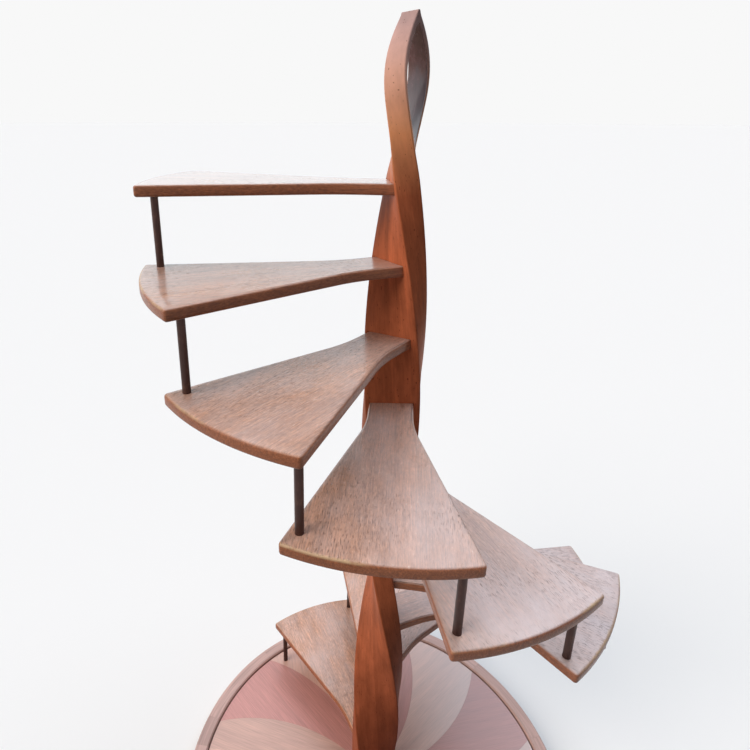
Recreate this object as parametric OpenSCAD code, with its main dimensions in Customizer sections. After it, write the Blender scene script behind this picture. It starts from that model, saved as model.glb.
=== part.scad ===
// Model of a spiral staircase. Fan-shaped treads are let into the face of a twisted board,
// which ends in a pointed arch with an open eye. Steel rods tie each tread to the next one.
// The round base is inlaid with curved wedges of two woods and has a rim of glued segments.
// The origin is the centre of the base's underside, with +Z up along the post.

/* [Stair] */
// Direction of the lowest tread, counter-clockwise from +X
first_angle = 120; // [0:5:355]
// Turn from one tread to the next, clockwise going up
step_angle = 30; // [26:1:34]
// Height from one tread's top to the next
riser = 65; // [55:1:80]
// Height of the lowest tread's top above the base floor
first_rise = 64; // [50:1:80]

/* [Treads] */
// Radius of the treads' outer edge about the post's axis
tread_r = 210; // [190:1:240]
// Thickness of a tread
tread_t = 9; // [8.5:0.5:14]
// Half of the angle that a tread's outer edge spans
tread_half_angle = 17.3; // [16.5:0.1:20]
// Width of a tread where it meets the post
tread_neck_w = 40; // [30:1:44]
// Length of the parallel neck in front of the post's face
tread_neck_len = 22; // [4:1:30]
// Radius of the curve that leads from the neck into the flared edge
tread_flare_r = 120; // [40:5:160]
// Radius of the round-over along the outer edge
tread_edge_round = 2; // [1:0.25:3]
// Depth to which a tread is let into the post
housing_depth = 5; // [3:0.5:7]
// Clearance round a tread's end in its housing
housing_gap = 0.15; // [0.1:0.05:0.3]

/* [Rods] */
// Diameter of a rod
rod_d = 6; // [4:0.5:8]
// Distance of the rods' axes from the treads' outer edge
rod_inset = 14; // [10:1:25]
// Depth of a rod's end in its hole
rod_seat = 4; // [2:0.5:4]
// Clearance round a rod in its hole
rod_gap = 0.1; // [0.05:0.05:0.2]
// Clearance past a rod's end in its hole
rod_end_gap = 0.1; // [0.05:0.05:0.2]

/* [Post] */
// Width of the board
post_w = 50; // [46:1:70]
// Thickness of the board
post_t = 20; // [18:1:30]
// Turn between two cross-sections of the twisted board
post_facet = 2.5; // [2:0.5:5]
// Width of the tenon under the post
tenon_w = 36; // [24:1:40]
// Thickness of the tenon under the post
tenon_t = 12; // [8:1:15]
// Length of the tenon under the post
tenon_len = 14; // [8:1:16]
// Clearance round the tenon in the base
tenon_gap = 0.15; // [0.1:0.05:0.3]

/* [Finial] */
// Angle by which the board's twist lags behind the treads in the finial
finial_lag = 13; // [0:1:20]
// Drop of the lag's start below the top tread
lag_drop = 39; // [20:1:60]
// Height of the lag's end above the top tread
lag_rise = 31; // [20:1:50]
// Thickness of the board in the finial
finial_t = 17.5; // [12:0.5:20]
// Height above the top tread over which the board thins
thin_rise = 36; // [20:1:50]
// Height above the top tread at which the pointed arch starts
arch_rise = 58; // [45:1:75]
// Height of the tip above the start of the arch
tip_rise = 64; // [45:1:80]
// Width of a strand beside the eye
strand_w = 4; // [3:0.25:8]
// Height of the eye's lower end above the top tread
eye_low_rise = 18; // [10:1:30]
// Drop of the eye's upper end below the tip
eye_top_drop = 8; // [5:1:14]
// Width of the eye at its two ends
eye_end_w = 1; // [0.5:0.25:2]
// Width of the ridge at the tip
tip_w = 1.2; // [0.5:0.1:3]

/* [Base] */
// Thickness of the backing disc
backing_t = 14; // [12:1:24]
// Thickness of the inlaid wedges
inlay_t = 4; // [3:0.5:6]
// Direction in which a joint between two wedges leaves the centre
inlay_angle = 20.4; // [0:0.1:29.9]
// Clearance between two wedges
inlay_gap = 0.1; // [0.05:0.05:0.2]
// Distance of the rim's inner edge outside the treads' outer edge
rim_margin = 0.5; // [0:0.5:10]
// Width of the rim
rim_w = 16; // [10:1:24]
// Height of the rim above the base floor
rim_proud = 3; // [1:0.5:8]
// Chamfer along the rim's top edges
rim_chamfer = 1.5; // [0.5:0.25:3]
// Width of the groove between the inlay and the rim
groove_w = 1.5; // [0.5:0.25:3]
// Clearance between the rim and the backing disc
rim_fit = 0.1; // [0.05:0.05:0.2]
// Clearance between two segments of the rim
rim_joint = 0.15; // [0.1:0.05:0.3]

/* [Hidden] */
$fn = 96;
tread_count = 11;
wedge_count = 12;
wedge_angle = 360 / wedge_count;
overcut = 1;
flare_points = 6;
eps = 0.01;

floor_z = backing_t + inlay_t;
foot_z = floor_z - tenon_len;
rod_r = tread_r - rod_inset;
rim_in_r = tread_r + rim_margin;
rim_out_r = rim_in_r + rim_w;
inlay_r = rim_in_r - groove_w;
inlay_arc_r = rim_in_r;

function tread_top(n) = floor_z + first_rise + (n - 1) * riser;
function tread_angle(n) = first_angle - (n - 1) * step_angle;

top_z = tread_top(tread_count);
arch_z = top_z + arch_rise;
tip_z = arch_z + tip_rise;
eye_low_z = top_z + eye_low_rise;
eye_top_z = tip_z - eye_top_drop;

// Ease from 0 to 1 with level ends, fall from 1 to 0 with a level start, and rise along an ellipse
function ease(u) = (1 - cos(180 * u)) / 2;
function fall(u) = cos(90 * u);
function swell(u) = sqrt(1 - (1 - u) ^ 2);
function within(u) = min(max(u, 0), 1);
function share(z, low, high) = within((z - low) / (high - low));
function mix(a, b, u) = a + (b - a) * u;

// Direction of the face that carries the treads at a height
function lag(z) = finial_lag * ease(share(z, top_z - lag_drop, top_z + lag_rise));
function board_angle(z) = first_angle - (z - tread_top(1) + tread_t / 2) / riser * step_angle + lag(z);

// Half of the board's width at a height
function board_half(z) = mix(tip_w, post_w, fall(share(z, arch_z, tip_z))) / 2;

// Half of the eye's width at a height, and a third of the board where it is whole
eye_w = post_w - 2 * strand_w;
function eye_half(z) =
    z < eye_low_z - eps || z > eye_top_z + eps ? board_half(z) / 3
    : z <= arch_z ? mix(eye_end_w, eye_w, swell(share(z, eye_low_z, arch_z))) / 2
    : mix(eye_end_w, eye_w, fall(share(z, arch_z, eye_top_z))) / 2;

// Half of the board's thickness at a height
function board_half_t(z) = mix(post_t, finial_t, ease(share(z, top_z, top_z + thin_rise))) / 2;

// Heights from low to high in equal steps, without the first one
function climb(low, high, steps) = [for (i = [1:steps]) mix(low, high, i / steps)];

// Heights that lie close together at the low end
function climb_out(low, high, steps) = [for (i = [1:steps]) mix(low, high, 1 - fall(i / steps))];

shaft_steps = ceil((eye_low_z - floor_z) / riser * step_angle / post_facet);
board_zs = concat(
    [floor_z],
    climb(floor_z, eye_low_z, shaft_steps),
    climb_out(eye_low_z, arch_z, 12),
    climb(arch_z, eye_top_z, 12),
    climb(eye_top_z, tip_z, 3)
);

// A cross-section holds its height, half width, half eye, half thickness and angle
function tenon_section(z) = [z, tenon_w / 2, tenon_w / 6, tenon_t / 2, board_angle(floor_z)];
function board_section(z) = [z, board_half(z), eye_half(z), board_half_t(z), board_angle(z)];
sections = concat(
    [tenon_section(foot_z), tenon_section(floor_z)],
    [for (z = board_zs) board_section(z)]
);

// Six points across the face that carries the treads, then six across the other face
function face_columns(s) =
    let (mid = (s[1] + s[2]) / 2)
    [-s[1], -mid, -s[2], s[2], mid, s[1]];
function section_points(s) = [
    for (side = [1, -1])
        for (across = face_columns(s))
            [
                side * s[3] * cos(s[4]) - across * sin(s[4]),
                side * s[3] * sin(s[4]) + across * cos(s[4]),
                s[0]
            ]
];

function at(s, side, column) = s * 12 + side * 6 + column;
function two(a, b, c, d) = [[a, b, c], [a, c, d]];
function is_eye(s) = sections[s][0] > eye_low_z - eps && sections[s + 1][0] < eye_top_z + eps;
function front_strip(s, c) = two(at(s, 0, c), at(s + 1, 0, c), at(s + 1, 0, c + 1), at(s, 0, c + 1));
function back_strip(s, c) = two(at(s, 1, c + 1), at(s + 1, 1, c + 1), at(s + 1, 1, c), at(s, 1, c));
function plus_wall(s, c) = two(at(s, 0, c), at(s + 1, 0, c), at(s + 1, 1, c), at(s, 1, c));
function minus_wall(s, c) = two(at(s, 1, c), at(s + 1, 1, c), at(s + 1, 0, c), at(s, 0, c));
function eye_floor(s) = two(at(s, 0, 3), at(s, 0, 2), at(s, 1, 2), at(s, 1, 3));
function eye_roof(s) = two(at(s, 1, 3), at(s, 1, 2), at(s, 0, 2), at(s, 0, 3));

top = len(sections) - 1;
eye_first = [for (s = [0:top - 1]) if (is_eye(s)) s][0];
eye_last = [for (s = [top - 1:-1:0]) if (is_eye(s)) s][0] + 1;
board_faces = concat(
    [for (s = [0:top - 1]) each concat(plus_wall(s, 5), minus_wall(s, 0))],
    [for (s = [0:top - 1], c = [0, 1, 3, 4]) each concat(front_strip(s, c), back_strip(s, c))],
    [for (s = [0:top - 1]) each is_eye(s)
        ? concat(plus_wall(s, 2), minus_wall(s, 3))
        : concat(front_strip(s, 2), back_strip(s, 2))],
    eye_floor(eye_first),
    eye_roof(eye_last),
    [[for (c = [0:5]) at(0, 0, c), for (c = [5:-1:0]) at(0, 1, c)]],
    [[for (c = [0:5]) at(top, 1, c), for (c = [5:-1:0]) at(top, 0, c)]]
);

// The flared edge leaves the neck along an arc and runs straight on to the outer corner
neck_half = tread_neck_w / 2;
tread_in_x = post_t / 2 - housing_depth;
flare_x = post_t / 2 + tread_neck_len;
corner = tread_r * [cos(tread_half_angle), sin(tread_half_angle)];
flare_centre = [flare_x, neck_half + tread_flare_r];
to_corner = corner - flare_centre;
straight_len = sqrt(to_corner * to_corner - tread_flare_r ^ 2);
flare_angle = atan2(to_corner[1], to_corner[0]) + atan2(tread_flare_r, straight_len);
function flare_point(a) = flare_centre + tread_flare_r * [sin(a), -cos(a)];
past_corner = flare_point(flare_angle)
    + (straight_len + 2 * tread_t) * [cos(flare_angle), sin(flare_angle)];
tread_side = concat(
    [[tread_in_x, neck_half]],
    [for (i = [0:flare_points]) flare_point(flare_angle * i / flare_points)],
    [past_corner]
);

module tread_outline() {
    polygon(concat(tread_side, [for (i = [len(tread_side) - 1:-1:0]) [tread_side[i][0], -tread_side[i][1]]]));
}

// Half section of a disc whose outer edge is rounded above and below
module round_edged_half() {
    inner_r = tread_r - tread_edge_round;
    square([inner_r, tread_t]);
    translate([0, tread_edge_round]) square([tread_r, tread_t - 2 * tread_edge_round]);
    for (y = [tread_edge_round, tread_t - tread_edge_round])
        translate([inner_r, y]) circle(r = tread_edge_round);
}

module rod_hole(depth) {
    cylinder(d = rod_d + 2 * rod_gap, h = depth);
}

module at_rod(angle) {
    rotate(angle) translate([rod_r, 0, 0]) children();
}

module tread(n) {
    color("#9a6a4c")
    translate([0, 0, tread_top(n) - tread_t])
    rotate(tread_angle(n))
    difference() {
        intersection() {
            linear_extrude(tread_t) tread_outline();
            rotate_extrude() round_edged_half();
        }
        at_rod(step_angle / 2) translate([0, 0, -overcut]) rod_hole(rod_seat + rod_end_gap + overcut);
        if (n < tread_count)
            at_rod(-step_angle / 2) translate([0, 0, tread_t - rod_seat - rod_end_gap])
                rod_hole(rod_seat + rod_end_gap + overcut);
    }
}

// A rod stands in the tread or base below and holds the outer corner of tread n
module rod(n) {
    low_z = (n == 1 ? floor_z : tread_top(n - 1)) - rod_seat;
    high_z = tread_top(n) - tread_t + rod_seat;
    color("#3a302c")
    at_rod(tread_angle(n) + step_angle / 2)
        translate([0, 0, low_z]) cylinder(d = rod_d, h = high_z - low_z);
}

module housing(n) {
    translate([0, 0, tread_top(n) - tread_t - housing_gap])
    rotate(tread_angle(n))
    translate([tread_in_x - housing_gap, -neck_half - housing_gap, 0])
        cube([post_w, tread_neck_w + 2 * housing_gap, tread_t + 2 * housing_gap]);
}

module twisted_post() {
    color("#8a4526")
    difference() {
        polyhedron(points = [for (s = sections) each section_points(s)], faces = board_faces, convexity = 10);
        for (n = [1:tread_count]) housing(n);
    }
}

// Room for the post's tenon in the base
module tenon_room() {
    translate([0, 0, foot_z - tenon_gap])
    rotate(board_angle(floor_z))
    translate([-tenon_t / 2 - tenon_gap, -tenon_w / 2 - tenon_gap, 0])
        cube([tenon_t + 2 * tenon_gap, tenon_w + 2 * tenon_gap, tenon_len + tenon_gap + overcut]);
}

module base_disc() {
    color("#7d5a48")
    difference() {
        cylinder(r = rim_in_r - rim_fit, h = backing_t);
        tenon_room();
        first_rod_room();
    }
}

module first_rod_room() {
    at_rod(tread_angle(1) + step_angle / 2)
        translate([0, 0, floor_z - rod_seat - rod_end_gap]) rod_hole(rod_seat + rod_end_gap + overcut);
}

// A joint between two wedges is an arc that leaves the centre in its own direction
module joint_circle(k, grow) {
    rotate(inlay_angle + k * wedge_angle) translate([0, inlay_arc_r]) circle(r = inlay_arc_r + grow);
}

module wedge(k) {
    difference() {
        intersection() {
            circle(r = inlay_r);
            joint_circle(k, 0);
        }
        joint_circle(k + 1, inlay_gap);
    }
}

module wedges(first) {
    difference() {
        translate([0, 0, backing_t]) linear_extrude(inlay_t)
            for (k = [first:2:wedge_count - 1]) wedge(k);
        tenon_room();
        first_rod_room();
    }
}

module pale_wedges() {
    color("#c9a083") wedges(0);
}

module red_wedges() {
    color("#a8685a") wedges(1);
}

module rim_section() {
    rim_h = floor_z + rim_proud;
    polygon([
        [rim_in_r, 0],
        [rim_out_r, 0],
        [rim_out_r, rim_h - rim_chamfer],
        [rim_out_r - rim_chamfer, rim_h],
        [rim_in_r + rim_chamfer, rim_h],
        [rim_in_r, rim_h - rim_chamfer]
    ]);
}

module rim_segment(i) {
    joint_angle = rim_joint / rim_in_r * 180 / PI;
    edge_angle = inlay_angle + asin(inlay_r / (2 * inlay_arc_r));
    color("#b98d76")
    rotate(edge_angle + (i - 1) * wedge_angle)
        rotate_extrude(angle = wedge_angle - joint_angle) rim_section();
}

base_disc();
pale_wedges();
red_wedges();
for (i = [1:wedge_count])
    rim_segment(i);
twisted_post();
for (n = [1:tread_count])
    tread(n);
for (n = [1:tread_count])
    rod(n);
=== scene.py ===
"""Looks of a wooden spiral staircase model, laid out as an add-on and run as a script."""

import math

import bmesh
import bpy
import numpy as np
from mathutils import Matrix, Vector


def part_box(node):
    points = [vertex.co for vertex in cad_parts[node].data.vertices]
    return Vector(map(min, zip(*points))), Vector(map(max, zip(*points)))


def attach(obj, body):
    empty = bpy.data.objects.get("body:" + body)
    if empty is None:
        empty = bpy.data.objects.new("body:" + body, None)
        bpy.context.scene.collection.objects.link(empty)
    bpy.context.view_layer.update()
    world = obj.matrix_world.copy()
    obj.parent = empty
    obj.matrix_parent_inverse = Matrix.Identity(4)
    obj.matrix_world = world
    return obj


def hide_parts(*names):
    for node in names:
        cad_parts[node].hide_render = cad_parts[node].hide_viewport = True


bl_info = {
    "name": "Spiral Staircase Model",
    "version": (1, 0, 0),
    "blender": (4, 5, 0),
    "location": "View3D > Sidebar > Staircase",
    "description": "Models the treads and the twisted post and finishes every surface of the staircase model",
    "category": "Object",
}

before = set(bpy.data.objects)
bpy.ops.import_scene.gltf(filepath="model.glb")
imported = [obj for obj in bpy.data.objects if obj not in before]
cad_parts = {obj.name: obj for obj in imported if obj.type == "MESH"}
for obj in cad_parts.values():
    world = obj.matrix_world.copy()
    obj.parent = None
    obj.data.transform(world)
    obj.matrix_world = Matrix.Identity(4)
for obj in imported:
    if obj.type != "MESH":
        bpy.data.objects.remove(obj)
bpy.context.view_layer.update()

MM = 0.001
TREADS = 11
SEGMENTS = 12
STEP = math.radians(30)
FIRST_ANGLE = math.radians(120)
TREAD_TOPS = [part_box(f"tread_{n}")[1][2] for n in range(1, TREADS + 1)]
TREAD_THICK = TREAD_TOPS[0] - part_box("tread_1")[0][2]
RISER = TREAD_TOPS[1] - TREAD_TOPS[0]
FOOT_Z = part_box("twisted_post")[0][2]
TIP_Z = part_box("twisted_post")[1][2]
FLOOR_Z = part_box("pale_wedges")[1][2]

TINY = 1e-6  # points closer than this are one
CLOSE = 1e-5  # heights and lengths that differ by less than this are the same
DRILL = 10 * MM  # length of the drill that cuts a rod hole
SLICE = 4 * MM  # slices of the post's shaft, short enough to twist smoothly
# distances in millimetres from the axis at which a tread's outline is drawn, before its inner end
TREAD_STATIONS = (190, 175, 158, 140, 120, 105, 92, 80, 70, 60, 50, 42, 36, 32, 20)
# edges that turn by less than this are shaded smooth
TREAD_SMOOTH, POST_SMOOTH = math.radians(35), math.radians(40)
# edges that turn by more than this, in radians, are rounded
TREAD_SHARP, POST_SHARP = 0.8, 0.9
# the painted sheen of the window light sets in and is full at these places across the model
PAINTED_SHEEN_FROM, PAINTED_SHEEN_TO = -40 * MM, 120 * MM
FLOOR_REACH = 60  # metres, so that the floor ends at the horizon
SENSOR = 36  # width of the camera's sensor in millimetres


def length(name, description, millimetres):
    return bpy.props.FloatProperty(
        name=name, description=description, default=millimetres * MM, precision=5, unit="LENGTH", subtype="DISTANCE"
    )


def angle(name, description, degrees):
    return bpy.props.FloatProperty(
        name=name, description=description, default=math.radians(degrees), unit="ROTATION", subtype="ANGLE"
    )


def linear(code):
    """An sRGB hex value as linear red, green, blue and alpha."""
    parts = [int(code[i : i + 2], 16) / 255 for i in (1, 3, 5)]
    return tuple(c / 12.92 if c <= 0.04045 else ((c + 0.055) / 1.055) ** 2.4 for c in parts) + (1.0,)


def colour(name, description, code):
    return bpy.props.FloatVectorProperty(
        name=name, description=description, default=linear(code), size=4, min=0, max=1, subtype="COLOR"
    )


class StairTreadSettings(bpy.types.PropertyGroup):
    radius: length("Radius", "Outer edge from the post's axis", 210)
    half_angle: angle("Half angle", "Half of the angle that the outer edge spans", 17.3)
    neck: length("Neck width", "Width where the tread meets the post", 40)
    neck_end: length("Neck end", "Distance from the axis at which the neck starts to flare", 32)
    flare: length("Flare radius", "Radius of the curve from the neck into the flared edge", 120)
    inner: length("Inner end", "Distance of the tread's end in its housing from the axis", 5)
    round_over: length("Round-over", "Rounding of the long edges", 2)
    corner_round: length("Corner round", "Rounding of the outer corners", 2.4)
    rod_radius: length("Rod circle", "Distance of the rods from the axis", 196)
    rod_hole: length("Rod hole", "Diameter of the hole for a rod", 6.2)
    rod_seat: length("Rod seat", "Depth of the hole for a rod", 4.1)
    # this grey stands for the varnish where it has bloomed, and for painted sheen of the window light
    bloom_and_sheen: colour("Bloom", "Grey bloom of the old varnish", "#dad0d2")
    wood: colour("Wood", "Middle tone of the treads", "#be8d70")
    bare: colour("Bare wood", "Worn arrises", "#d6b892")


class StairPostSettings(bpy.types.PropertyGroup):
    width: length("Width", "Width of the board", 50)
    thick: length("Thickness", "Thickness of the board", 20)
    tip_thick: length("Tip thickness", "Thickness of the board above the top tread", 17.5)
    thin_rise: length("Thinning", "Height above the top tread over which the board thins", 36)
    arch_rise: length("Arch", "Height above the top tread at which the pointed arch starts", 58)
    strand: length("Strand", "Width of the board on each side of the eye", 4)
    eye_rise: length("Eye", "Height of the eye's lower end above the top tread", 18)
    eye_drop: length("Eye drop", "Drop of the eye's upper end below the tip", 8)
    ridge: length("Ridge", "Width of the ridge at the tip", 1.2)
    lag: angle("Lag", "Angle by which the board's twist falls behind the treads from the floor up to the arch", 13)
    lag_rise: length("Lag end", "Height above the top tread up to which the twist falls behind", 31)
    tenon_width: length("Tenon width", "Width of the tenon in the base", 36)
    tenon_thick: length("Tenon thickness", "Thickness of the tenon in the base", 12)
    arris: length("Arris", "Rounding of the board's arrises", 1.2)
    housing_gap: length("Housing gap", "Clearance round a tread in its housing", 0.15)
    wood: colour("Wood", "Middle tone of the post", "#b06444")


class StairBaseSettings(bpy.types.PropertyGroup):
    floor_radius: length("Floor radius", "Inside of the rim, and radius of the wedges' curved joints", 210.5)
    inlay_radius: length("Inlay radius", "Outer ends of the wedges from the centre", 209)
    joint_angle: angle("Joint angle", "Direction in which a joint leaves the centre", 20.4)
    pale_wood: colour("Pale wood", "Middle tone of the pale wedges", "#d6ae9f")
    red_wood: colour("Red wood", "Middle tone of the red wedges", "#c38b83")
    rim_wood: colour("Rim wood", "Middle tone of the rim", "#bb998f")
    steel: colour("Steel", "Middle tone of the rods", "#432b26")


class StairStageSettings(bpy.types.PropertyGroup):
    camera_x: length("Camera X", "Place of the camera", 5.1)
    camera_y: length("Camera Y", "Place of the camera", -473.2)
    camera_z: length("Camera Z", "Place of the camera", 782.6)
    yaw: angle("Yaw", "Turn of the camera to the left", 8.638)
    pitch: angle("Pitch", "Tilt of the camera below the horizon", 19.864)
    roll: angle("Roll", "Roll of the camera", 0.107)
    lens: bpy.props.FloatProperty(name="Lens", description="Focal length in millimetres", default=27.32)
    shift_x: bpy.props.FloatProperty(name="Shift X", description="Sideways shift of the frame", default=0.0733)
    shift_y: bpy.props.FloatProperty(name="Shift Y", description="Upward shift of the frame", default=-0.0733)
    backdrop: colour("Backdrop", "Colour of the background", "#f8f8f8")


def start_piece(name, add, **where):
    """Deselects everything, adds a primitive with its size and place, and leaves it in edit mode."""
    bpy.ops.object.select_all(action="DESELECT")
    add(**where)
    piece = bpy.context.object
    piece.name = name
    piece.data.name = name
    bpy.ops.object.transform_apply(location=True, rotation=True, scale=True)
    bpy.ops.object.mode_set(mode="EDIT")
    return piece


def pick(piece, kind, test):
    """Selects the vertices, edges or faces of the piece in edit mode that pass the test."""
    bpy.ops.mesh.select_mode(type=kind)
    bpy.ops.mesh.select_all(action="DESELECT")
    shape = bmesh.from_edit_mesh(piece.data)
    items = {"VERT": shape.verts, "EDGE": shape.edges, "FACE": shape.faces}[kind]
    found = [item for item in items if test(item)]
    if not found:
        raise RuntimeError(f"{piece.name}: nothing to work on")
    for item in found:
        item.select_set(True)
    shape.select_flush_mode()
    bmesh.update_edit_mesh(piece.data)


def finish_piece(smooth_angle):
    """Merges the doubles of the piece in edit mode, turns its faces outwards, leaves edit mode and shades it."""
    bpy.ops.mesh.select_all(action="SELECT")
    bpy.ops.mesh.remove_doubles(threshold=TINY)
    bpy.ops.mesh.normals_make_consistent(inside=False)
    bpy.ops.object.mode_set(mode="OBJECT")
    bpy.ops.object.shade_smooth_by_angle(angle=smooth_angle)


def apply(piece, kind, **settings):
    """Adds a modifier to the piece, sets it and applies it."""
    only(piece)
    made = piece.modifiers.new(kind.title(), kind)
    for key, value in settings.items():
        setattr(made, key, value)
    bpy.ops.object.modifier_apply(modifier=made.name)


def only(piece):
    """Selects the piece alone and makes it active."""
    bpy.ops.object.select_all(action="DESELECT")
    piece.select_set(True)
    bpy.context.view_layer.objects.active = piece


def cut(piece, cutter):
    """Cuts the cutter's solid out of the piece and removes the cutter."""
    apply(piece, "BOOLEAN", operation="DIFFERENCE", solver="EXACT", object=cutter)
    bpy.data.objects.remove(cutter)


def copy_of(piece, name):
    """A copy of the piece with a mesh of its own."""
    only(piece)
    bpy.ops.object.duplicate(linked=False)
    made = bpy.context.object
    made.name = name
    made.data.name = name
    return made


def points_of(piece):
    flat = np.empty(len(piece.data.vertices) * 3)
    piece.data.vertices.foreach_get("co", flat)
    return flat.reshape(-1, 3)


def lay_grain(piece, coordinates, plank):
    """Stores the wood's own coordinates in millimetres, x along the grain, and the number of its plank."""
    grain = piece.data.attributes.new("grain", "FLOAT_VECTOR", "POINT")
    grain.data.foreach_set("vector", (coordinates / MM).astype(np.float32).ravel())
    number = piece.data.attributes.new("plank", "FLOAT", "POINT")
    number.data.foreach_set("value", np.full(len(coordinates), plank, np.float32))


def turned(points, turn):
    """The points turned about the post's axis, by one angle or by one angle each."""
    c, s = np.cos(turn), np.sin(turn)
    x, y, z = points.T
    return np.column_stack([x * c - y * s, x * s + y * c, z])


def hand_in(piece, node_name):
    """Fixes the piece to the root in place of its CAD node."""
    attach(piece, "root")
    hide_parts(node_name)


def edge_turn(edge):
    """The angle between the edge's two faces."""
    return edge.calc_face_angle(0.0)


def upright(edge):
    return abs(edge.verts[0].co.z - edge.verts[1].co.z) > CLOSE


def flare_line(p):
    """Where the straight flared edge leaves the curve: the curve's end angle, and the outer corner."""
    corner = p.radius * Vector((math.cos(p.half_angle), math.sin(p.half_angle)))
    centre = Vector((p.neck_end, p.neck / 2 + p.flare))
    reach = corner - centre
    straight = math.sqrt(reach.length_squared - p.flare**2)
    return math.atan2(reach.y, reach.x) + math.atan2(p.flare, straight), corner


def tread_half(p, x):
    """Half of a tread's width at a distance from the axis."""
    turn, corner = flare_line(p)
    if x <= p.neck_end:
        return p.neck / 2
    if x <= p.neck_end + p.flare * math.sin(turn):
        return p.neck / 2 + p.flare - math.sqrt(p.flare**2 - (x - p.neck_end) ** 2)
    return corner.y - (corner.x - x) * math.tan(turn)


def rod_cutter(p, turn, low):
    """A drill for a rod hole, at its place in a tread along +X."""
    place = (p.rod_radius * math.cos(turn), p.rod_radius * math.sin(turn), low + DRILL / 2)
    piece = start_piece(
        "drill", bpy.ops.mesh.primitive_cylinder_add, vertices=32, radius=p.rod_hole / 2, depth=DRILL, location=place
    )
    bpy.ops.object.mode_set(mode="OBJECT")
    return piece


def model_tread(p):
    """One tread along +X with its top at z = 0 and no holes."""
    corner = (p.radius * math.cos(p.half_angle), p.radius * math.sin(p.half_angle), 0)
    piece = start_piece("tread", bpy.ops.mesh.primitive_plane_add, size=0.01)
    bpy.ops.mesh.merge(type="CENTER")
    bpy.ops.transform.translate(value=corner)
    bpy.ops.mesh.spin(steps=24, angle=2 * p.half_angle, center=(0, 0, 0), axis=(0, 0, 1))
    bpy.ops.mesh.select_all(action="SELECT")
    bpy.ops.mesh.remove_doubles(threshold=TINY)
    pick(piece, "EDGE", lambda e: True)
    x, half = corner[:2]
    for station in TREAD_STATIONS + (p.inner / MM,):
        new_x = station * MM
        new_half = tread_half(p, new_x)
        bpy.ops.mesh.extrude_edges_move(TRANSFORM_OT_translate={"value": (0, 0, 0)})
        bpy.ops.transform.resize(value=(new_x / x, new_half / half, 1), center_override=(0, 0, 0))
        x, half = new_x, new_half
    bpy.ops.mesh.select_all(action="SELECT")
    bpy.ops.mesh.extrude_region_move(TRANSFORM_OT_translate={"value": (0, 0, -TREAD_THICK)})
    bpy.ops.mesh.select_all(action="SELECT")
    bpy.ops.mesh.normals_make_consistent(inside=False)
    pick(piece, "EDGE", lambda e: upright(e) and abs(e.verts[0].co.y) > corner[1] - 0.1 * MM)
    bpy.ops.mesh.bevel(offset=p.corner_round, segments=5, profile=0.5, affect="EDGES", clamp_overlap=False)

    def is_long_edge(edge):
        housed = max(v.co.x for v in edge.verts) <= 2 * p.inner
        return edge_turn(edge) > TREAD_SHARP and not upright(edge) and not housed

    pick(piece, "EDGE", is_long_edge)
    bpy.ops.mesh.bevel(offset=p.round_over, segments=3, profile=0.5, affect="EDGES", clamp_overlap=False)
    finish_piece(TREAD_SMOOTH)
    return piece


class StairTreads(bpy.types.Operator):
    """Models one fan-shaped tread and sets eleven of it round the post"""

    bl_idname = "stair.treads"
    bl_label = "Treads"

    def execute(self, context):
        p = context.scene.stair_treads
        wood = tread_wood(p)
        master = model_tread(p)
        cut(master, rod_cutter(p, STEP / 2, -TREAD_THICK - DRILL + p.rod_seat))
        last = copy_of(master, "fan_tread_11")
        cut(master, rod_cutter(p, -STEP / 2, -p.rod_seat))
        for n in range(1, TREADS + 1):
            piece = last if n == TREADS else copy_of(master, f"fan_tread_{n}")
            lay_grain(piece, points_of(piece), n)
            piece.rotation_euler.z = FIRST_ANGLE - (n - 1) * STEP
            piece.location.z = TREAD_TOPS[n - 1]
            only(piece)
            bpy.ops.object.transform_apply(location=True, rotation=True, scale=True)
            piece.data.materials.clear()
            piece.data.materials.append(wood)
            hand_in(piece, f"tread_{n}")
        bpy.data.objects.remove(master)
        return {"FINISHED"}


def share(z, low, high):
    return min(max((z - low) / (high - low), 0), 1)


def ease(u):
    return (1 - math.cos(math.pi * u)) / 2


class Board:
    """The flat blank of the post: half width, half eye and half thickness by height."""

    def __init__(self, p):
        self.p = p
        self.top = TREAD_TOPS[-1]
        self.arch = self.top + p.arch_rise
        self.eye_low = self.top + p.eye_rise
        self.eye_top = TIP_Z - p.eye_drop
        self.lag_end = self.top + p.lag_rise

    def half(self, z):
        fall = math.cos(math.pi / 2 * share(z, self.arch, TIP_Z))
        return (self.p.ridge + (self.p.width - self.p.ridge) * fall) / 2

    def eye(self, z):
        if z <= self.eye_low or z >= self.eye_top:
            return 0.0
        widest = self.p.width / 2 - self.p.strand
        if z <= self.arch:
            return widest * math.sqrt(1 - (1 - share(z, self.eye_low, self.arch)) ** 2)
        return widest * math.cos(math.pi / 2 * share(z, self.arch, self.eye_top))

    def half_thick(self, z):
        u = ease(share(z, self.top, self.top + self.p.thin_rise))
        return (self.p.thick + (self.p.tip_thick - self.p.thick) * u) / 2

    def stations(self):
        """Heights above the top tread at which the outline is drawn, closest at the eye's lower end."""
        low = [self.top + self.p.eye_rise * i / 4 for i in range(1, 5)]
        opening = [1 - math.cos(math.pi / 2 * i / 16) for i in range(1, 17)]
        rise = [self.eye_low + (self.arch - self.eye_low) * u for u in opening]
        arch = [self.arch + (self.eye_top - self.arch) * i / 20 for i in range(1, 21)]
        tip = [self.eye_top + (TIP_Z - self.eye_top) * i / 4 for i in range(1, 5)]
        return low + rise + arch + tip

    def turn(self, z):
        """Direction of the face that carries the treads, by height."""
        start = FIRST_ANGLE - (z - TREAD_TOPS[0] + TREAD_THICK / 2) / RISER * STEP
        return start + self.p.lag * np.clip((z - FLOOR_Z) / (self.lag_end - FLOOR_Z), 0, 1)


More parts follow.
